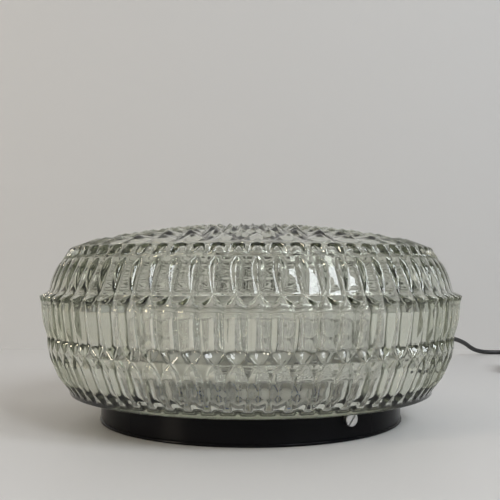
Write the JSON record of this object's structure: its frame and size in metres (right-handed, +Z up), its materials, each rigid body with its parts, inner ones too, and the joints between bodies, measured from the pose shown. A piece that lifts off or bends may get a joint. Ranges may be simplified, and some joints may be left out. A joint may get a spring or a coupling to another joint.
{
  "type": "glass table lamp",
  "caption": "Round lamp: a fluted pressed-glass shade on a low black steel pan, with a bulb inside and a lead with a rocker switch and plug.",
  "frame": {"origin": "middle of the pan's foot, on the table", "axes": "+Z up along the lamp's axis, -Y towards the viewer of the picture, +X to its right"},
  "size_m": [0.4683, 0.5407, 0.1303],
  "materials": {
    "shade_glass": "clear pressed glass with a faint green-grey tint",
    "black_lacquer": "gloss black lacquer",
    "zinc_steel": "bright zinc plating",
    "white_porcelain": "glazed white",
    "brass": "plain",
    "nickel_brass": "nickel plated brass",
    "cap_metal": "rolled sheet",
    "dark_insulator": "opaque black glass",
    "bulb_glass": "clear",
    "filament_wire": "drawn wire",
    "cream_plastic": "moulded",
    "black_rubber": "matt",
    "black_sheath": "satin cable sheath",
    "black_plastic": "moulded",
    "black_gloss_plastic": "polished",
    "brown_insulation": "wire insulation",
    "blue_insulation": "wire insulation",
    "green_insulation": "wire insulation"
  },
  "bodies": {
    "lamp": {"base_pan": "black_lacquer", "clamp_nuts": "zinc_steel", "lamp_bracket": "zinc_steel", "bracket_screws": "zinc_steel", "lampholder": "white_porcelain", "socket_shell": "brass", "middle_contact": "brass", "holder_nipple": "zinc_steel", "nipple_nut": "zinc_steel", "terminal_block": "cream_plastic", "terminal_tubes": "brass", "terminal_screws": "zinc_steel", "block_screw": "zinc_steel", "entry_sleeve": "black_rubber", "cord_tail": "black_sheath", "grip_base": "black_plastic", "grip_strap": "black_plastic", "grip_screws": "zinc_steel", "cord_core_brown": "brown_insulation", "cord_core_blue": "blue_insulation", "holder_wire_brown": "brown_insulation", "holder_wire_blue": "blue_insulation", "earth_tag": "zinc_steel", "earth_screw": "zinc_steel", "earth_wire": "green_insulation", "lamp_lead": "black_sheath", "coil_lead": "black_sheath", "cord_coil": "black_sheath", "cord_tie": "black_rubber", "switch_base": "black_plastic", "switch_cover": "black_plastic", "switch_screws": "zinc_steel", "switch_contacts": "brass", "switch_cores": "brown_insulation", "plug_boot": "black_rubber", "plug_body": "black_plastic", "plug_pins": "nickel_brass"},
    "shade": {"glass_shade": "shade_glass", "shade_neck": "shade_glass"},
    "screw_1": {"shade_screw_1": "zinc_steel"},
    "screw_2": {"shade_screw_2": "zinc_steel"},
    "screw_3": {"shade_screw_3": "zinc_steel"},
    "bulb": {"bulb_cap": "cap_metal", "cap_insulator": "dark_insulator", "bulb_contact": "brass", "bulb_glass": "bulb_glass", "bulb_stem": "bulb_glass", "bulb_filament": "filament_wire"},
    "rocker": {"rocker": "black_gloss_plastic"}
  },
  "joints": [
    {"name": "shade_lift", "type": "slide", "parent": "lamp", "child": "shade", "axis": [0, 0, 1], "range_m": [0, 0.1]},
    {"name": "screw_1_out", "type": "slide", "parent": "lamp", "child": "screw_1", "axis": [0.5635, -0.8261, 0], "range_m": [0, 0.006]},
    {"name": "screw_2_out", "type": "slide", "parent": "lamp", "child": "screw_2", "axis": [0.4337, 0.9011, 0], "range_m": [0, 0.006]},
    {"name": "screw_3_out", "type": "slide", "parent": "lamp", "child": "screw_3", "axis": [-0.9972, -0.075, 0], "range_m": [0, 0.006]},
    {"name": "bulb_out", "type": "slide", "parent": "lamp", "child": "bulb", "axis": [1, 0, 0], "range_m": [0, 0.026]},
    {"name": "rocker_press", "type": "hinge", "parent": "lamp", "child": "rocker", "pos_m": [0.272, 0.235, 0.013], "axis": [0.9511, -0.309, 0], "range_deg": [0, 16]}
  ]
}
